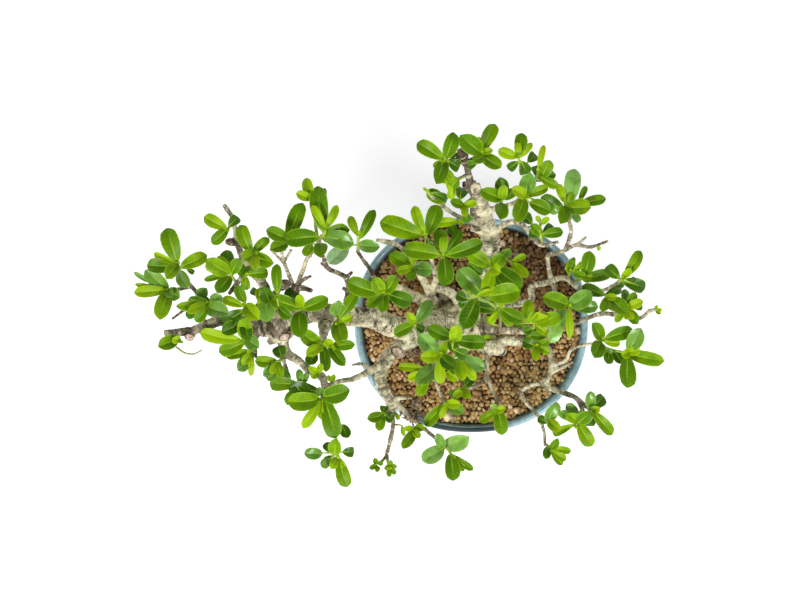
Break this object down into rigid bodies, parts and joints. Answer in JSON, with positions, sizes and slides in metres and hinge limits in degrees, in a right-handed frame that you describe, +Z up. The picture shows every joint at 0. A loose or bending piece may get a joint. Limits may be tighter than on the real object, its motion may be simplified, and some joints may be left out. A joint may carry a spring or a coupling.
{
  "type": "border privet bonsai in a pot",
  "caption": "Leaning border privet bonsai with pale gnarled limbs and leafy sprays, planted in clay crumbs in a round glazed pot.",
  "frame": {"origin": "under the middle of the whole tree's bounding box, on the surface that the pot stands on", "axes": "+Z up; +X along the tree's long spread, from the far left limb towards the pot side; +Y to the back, away from the front limb"},
  "size_m": [0.3706, 0.2518, 0.2333],
  "materials": {
    "pot_glaze": "gloss",
    "drain_mesh": "matte",
    "clay_crumbs": "matte",
    "bark": "matte",
    "leaf": "satin"
  },
  "bodies": {
    "root": {"pot": "pot_glaze", "drain_screen": "drain_mesh", "soil": "clay_crumbs", "trunk_and_branches": "bark", "spray_far_left": "leaf", "spray_left_tip": "leaf", "spray_top_left": "leaf", "spray_upper_left": "leaf", "spray_left_inner": "leaf", "spray_left_middle": "leaf", "spray_left_ring": "leaf", "spray_left_lower": "leaf", "spray_lower_left": "leaf", "spray_upper_middle": "leaf", "spray_upper_middle_left": "leaf", "spray_back_left": "leaf", "spray_middle": "leaf", "spray_middle_left": "leaf", "spray_left_star": "leaf", "spray_front_left": "leaf", "spray_front_left_side": "leaf", "spray_front_small": "leaf", "spray_front_tip": "leaf", "spray_front_middle": "leaf", "spray_low_front": "leaf", "spray_low_inner": "leaf", "spray_low_centre": "leaf", "spray_right_front_low": "leaf", "spray_right_front": "leaf", "spray_right_low": "leaf", "spray_right_middle": "leaf", "spray_right_inner_middle": "leaf", "spray_right_upper": "leaf", "spray_right_back": "leaf", "spray_right_inner": "leaf", "spray_right_centre": "leaf", "spray_right_centre_low": "leaf", "spray_centre_back": "leaf", "spray_centre_long": "leaf", "spray_centre": "leaf", "spray_centre_front": "leaf", "spray_centre_left": "leaf", "spray_back_centre_left": "leaf", "spray_crown_left": "leaf", "spray_crown_back": "leaf", "spray_pale_twig": "leaf", "spray_back_top": "leaf", "spray_back_tip": "leaf", "spray_back_lower": "leaf", "spray_back_right": "leaf", "spray_back_right_middle": "leaf", "spray_back_right_top": "leaf", "spray_back_right_tip": "leaf", "spray_back_right_low": "leaf"}
  },
  "joints": []
}
